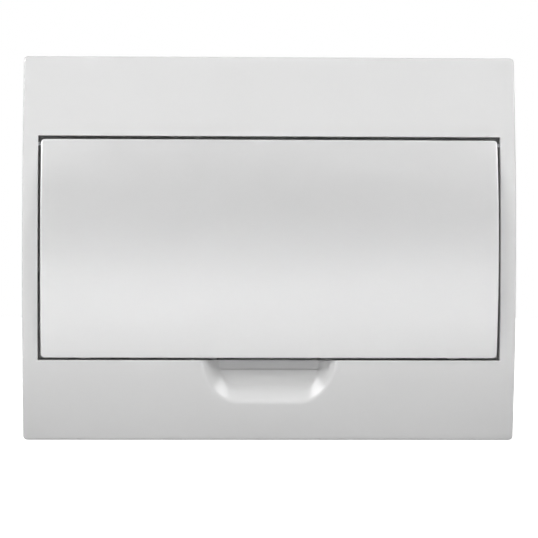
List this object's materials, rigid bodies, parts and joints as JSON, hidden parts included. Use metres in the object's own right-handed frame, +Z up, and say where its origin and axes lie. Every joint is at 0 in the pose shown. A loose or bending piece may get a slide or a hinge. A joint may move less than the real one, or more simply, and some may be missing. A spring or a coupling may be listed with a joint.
{
  "type": "breaker panel box",
  "caption": "Flush wall box for circuit breakers: steel back box, rail of switches, arched front frame with a finger scoop and an arched door hinged at its top edge.",
  "frame": {"origin": "centre of the back box's rear face", "axes": "+X to the right seen from the front, +Y into the wall, +Z up"},
  "size_m": [0.32, 0.1174, 0.25],
  "materials": {
    "frame_plastic": "gloss moulded",
    "door_plastic": "satin moulded",
    "box_steel": "powder coated",
    "zinc_steel": "zinc plated",
    "bar_brass": "drawn bar",
    "comb_copper": "bare copper",
    "device_case": "fine matt",
    "toggle_black": "satin",
    "toggle_blue": "satin",
    "toggle_red": "satin",
    "button_yellow": "satin",
    "clip_grey": "satin",
    "insulator_blue": "satin",
    "insulator_green": "satin",
    "insulator_grey": "satin",
    "label_paper": "uncoated"
  },
  "bodies": {
    "box": {"back_box": "box_steel", "din_rail": "zinc_steel", "rail_bracket_left": "zinc_steel", "rail_bracket_right": "zinc_steel", "rail_screw_left": "zinc_steel", "rail_screw_right": "zinc_steel", "rail_nut_left": "zinc_steel", "rail_nut_right": "zinc_steel", "neutral_bar": "bar_brass", "neutral_bar_base": "insulator_blue", "neutral_bar_screw_left": "zinc_steel", "neutral_bar_screw_right": "zinc_steel", "earth_bar": "bar_brass", "earth_bar_base": "insulator_green", "earth_bar_screw_left": "zinc_steel", "earth_bar_screw_right": "zinc_steel", "earth_stud": "zinc_steel", "earth_washer": "zinc_steel", "earth_nut": "zinc_steel", "front_frame": "frame_plastic", "cover_screw_left": "zinc_steel", "cover_screw_right": "zinc_steel", "main_switch_case": "device_case", "leakage_breaker_case": "device_case", "breaker_1_case": "device_case", "breaker_2_case": "device_case", "breaker_3_case": "device_case", "breaker_4_case": "device_case", "breaker_5_case": "device_case", "breaker_6_case": "device_case", "blanking_plate_1": "frame_plastic", "blanking_plate_2": "frame_plastic", "busbar_comb": "comb_copper", "busbar_cover": "insulator_grey", "circuit_label_strip": "label_paper"},
    "door": {"door": "door_plastic", "hinge_pin_left": "zinc_steel", "hinge_pin_right": "zinc_steel"},
    "main_switch_toggle": {"main_switch_toggle": "toggle_red"},
    "leakage_breaker_toggle": {"leakage_breaker_toggle": "toggle_blue"},
    "breaker_1_toggle": {"breaker_1_toggle": "toggle_black"},
    "breaker_2_toggle": {"breaker_2_toggle": "toggle_black"},
    "breaker_3_toggle": {"breaker_3_toggle": "toggle_black"},
    "breaker_4_toggle": {"breaker_4_toggle": "toggle_black"},
    "breaker_5_toggle": {"breaker_5_toggle": "toggle_black"},
    "breaker_6_toggle": {"breaker_6_toggle": "toggle_black"},
    "main_switch_rail_clip": {"main_switch_rail_clip": "clip_grey"},
    "leakage_breaker_rail_clip": {"leakage_breaker_rail_clip": "clip_grey"},
    "breaker_1_rail_clip": {"breaker_1_rail_clip": "clip_grey"},
    "breaker_2_rail_clip": {"breaker_2_rail_clip": "clip_grey"},
    "breaker_3_rail_clip": {"breaker_3_rail_clip": "clip_grey"},
    "breaker_4_rail_clip": {"breaker_4_rail_clip": "clip_grey"},
    "breaker_5_rail_clip": {"breaker_5_rail_clip": "clip_grey"},
    "breaker_6_rail_clip": {"breaker_6_rail_clip": "clip_grey"},
    "test_button": {"leakage_breaker_test_button": "button_yellow"}
  },
  "joints": [
    {"name": "door_hinge", "type": "hinge", "parent": "box", "child": "door", "pos_m": [0, -0.10347, 0.0673], "axis": [-1, 0, 0], "range_deg": [0, 100]},
    {"name": "main_switch_tip", "type": "hinge", "parent": "box", "child": "main_switch_toggle", "pos_m": [-0.09, -0.0915, 0], "axis": [1, 0, 0], "range_deg": [0, 70]},
    {"name": "leakage_breaker_tip", "type": "hinge", "parent": "box", "child": "leakage_breaker_toggle", "pos_m": [-0.054, -0.0915, 0], "axis": [1, 0, 0], "range_deg": [0, 70]},
    {"name": "breaker_1_tip", "type": "hinge", "parent": "box", "child": "breaker_1_toggle", "pos_m": [-0.027, -0.0915, 0], "axis": [1, 0, 0], "range_deg": [0, 70]},
    {"name": "breaker_2_tip", "type": "hinge", "parent": "box", "child": "breaker_2_toggle", "pos_m": [-0.009, -0.0915, 0], "axis": [1, 0, 0], "range_deg": [0, 70]},
    {"name": "breaker_3_tip", "type": "hinge", "parent": "box", "child": "breaker_3_toggle", "pos_m": [0.009, -0.0915, 0], "axis": [1, 0, 0], "range_deg": [0, 70]},
    {"name": "breaker_4_tip", "type": "hinge", "parent": "box", "child": "breaker_4_toggle", "pos_m": [0.027, -0.0915, 0], "axis": [1, 0, 0], "range_deg": [0, 70]},
    {"name": "breaker_5_tip", "type": "hinge", "parent": "box", "child": "breaker_5_toggle", "pos_m": [0.045, -0.0915, 0], "axis": [1, 0, 0], "range_deg": [0, 70]},
    {"name": "breaker_6_tip", "type": "hinge", "parent": "box", "child": "breaker_6_toggle", "pos_m": [0.063, -0.0915, 0], "axis": [1, 0, 0], "range_deg": [0, 70]},
    {"name": "main_switch_clip_pull", "type": "slide", "parent": "box", "child": "main_switch_rail_clip", "axis": [0, 0, -1], "range_m": [0, 0.004], "stiffness_N_per_m": 2500},
    {"name": "leakage_breaker_clip_pull", "type": "slide", "parent": "box", "child": "leakage_breaker_rail_clip", "axis": [0, 0, -1], "range_m": [0, 0.004], "stiffness_N_per_m": 2500},
    {"name": "breaker_1_clip_pull", "type": "slide", "parent": "box", "child": "breaker_1_rail_clip", "axis": [0, 0, -1], "range_m": [0, 0.004], "stiffness_N_per_m": 2500},
    {"name": "breaker_2_clip_pull", "type": "slide", "parent": "box", "child": "breaker_2_rail_clip", "axis": [0, 0, -1], "range_m": [0, 0.004], "stiffness_N_per_m": 2500},
    {"name": "breaker_3_clip_pull", "type": "slide", "parent": "box", "child": "breaker_3_rail_clip", "axis": [0, 0, -1], "range_m": [0, 0.004], "stiffness_N_per_m": 2500},
    {"name": "breaker_4_clip_pull", "type": "slide", "parent": "box", "child": "breaker_4_rail_clip", "axis": [0, 0, -1], "range_m": [0, 0.004], "stiffness_N_per_m": 2500},
    {"name": "breaker_5_clip_pull", "type": "slide", "parent": "box", "child": "breaker_5_rail_clip", "axis": [0, 0, -1], "range_m": [0, 0.004], "stiffness_N_per_m": 2500},
    {"name": "breaker_6_clip_pull", "type": "slide", "parent": "box", "child": "breaker_6_rail_clip", "axis": [0, 0, -1], "range_m": [0, 0.004], "stiffness_N_per_m": 2500},
    {"name": "test_button_press", "type": "slide", "parent": "box", "child": "test_button", "axis": [0, 1, 0], "range_m": [0, 0.0015], "stiffness_N_per_m": 2000}
  ]
}
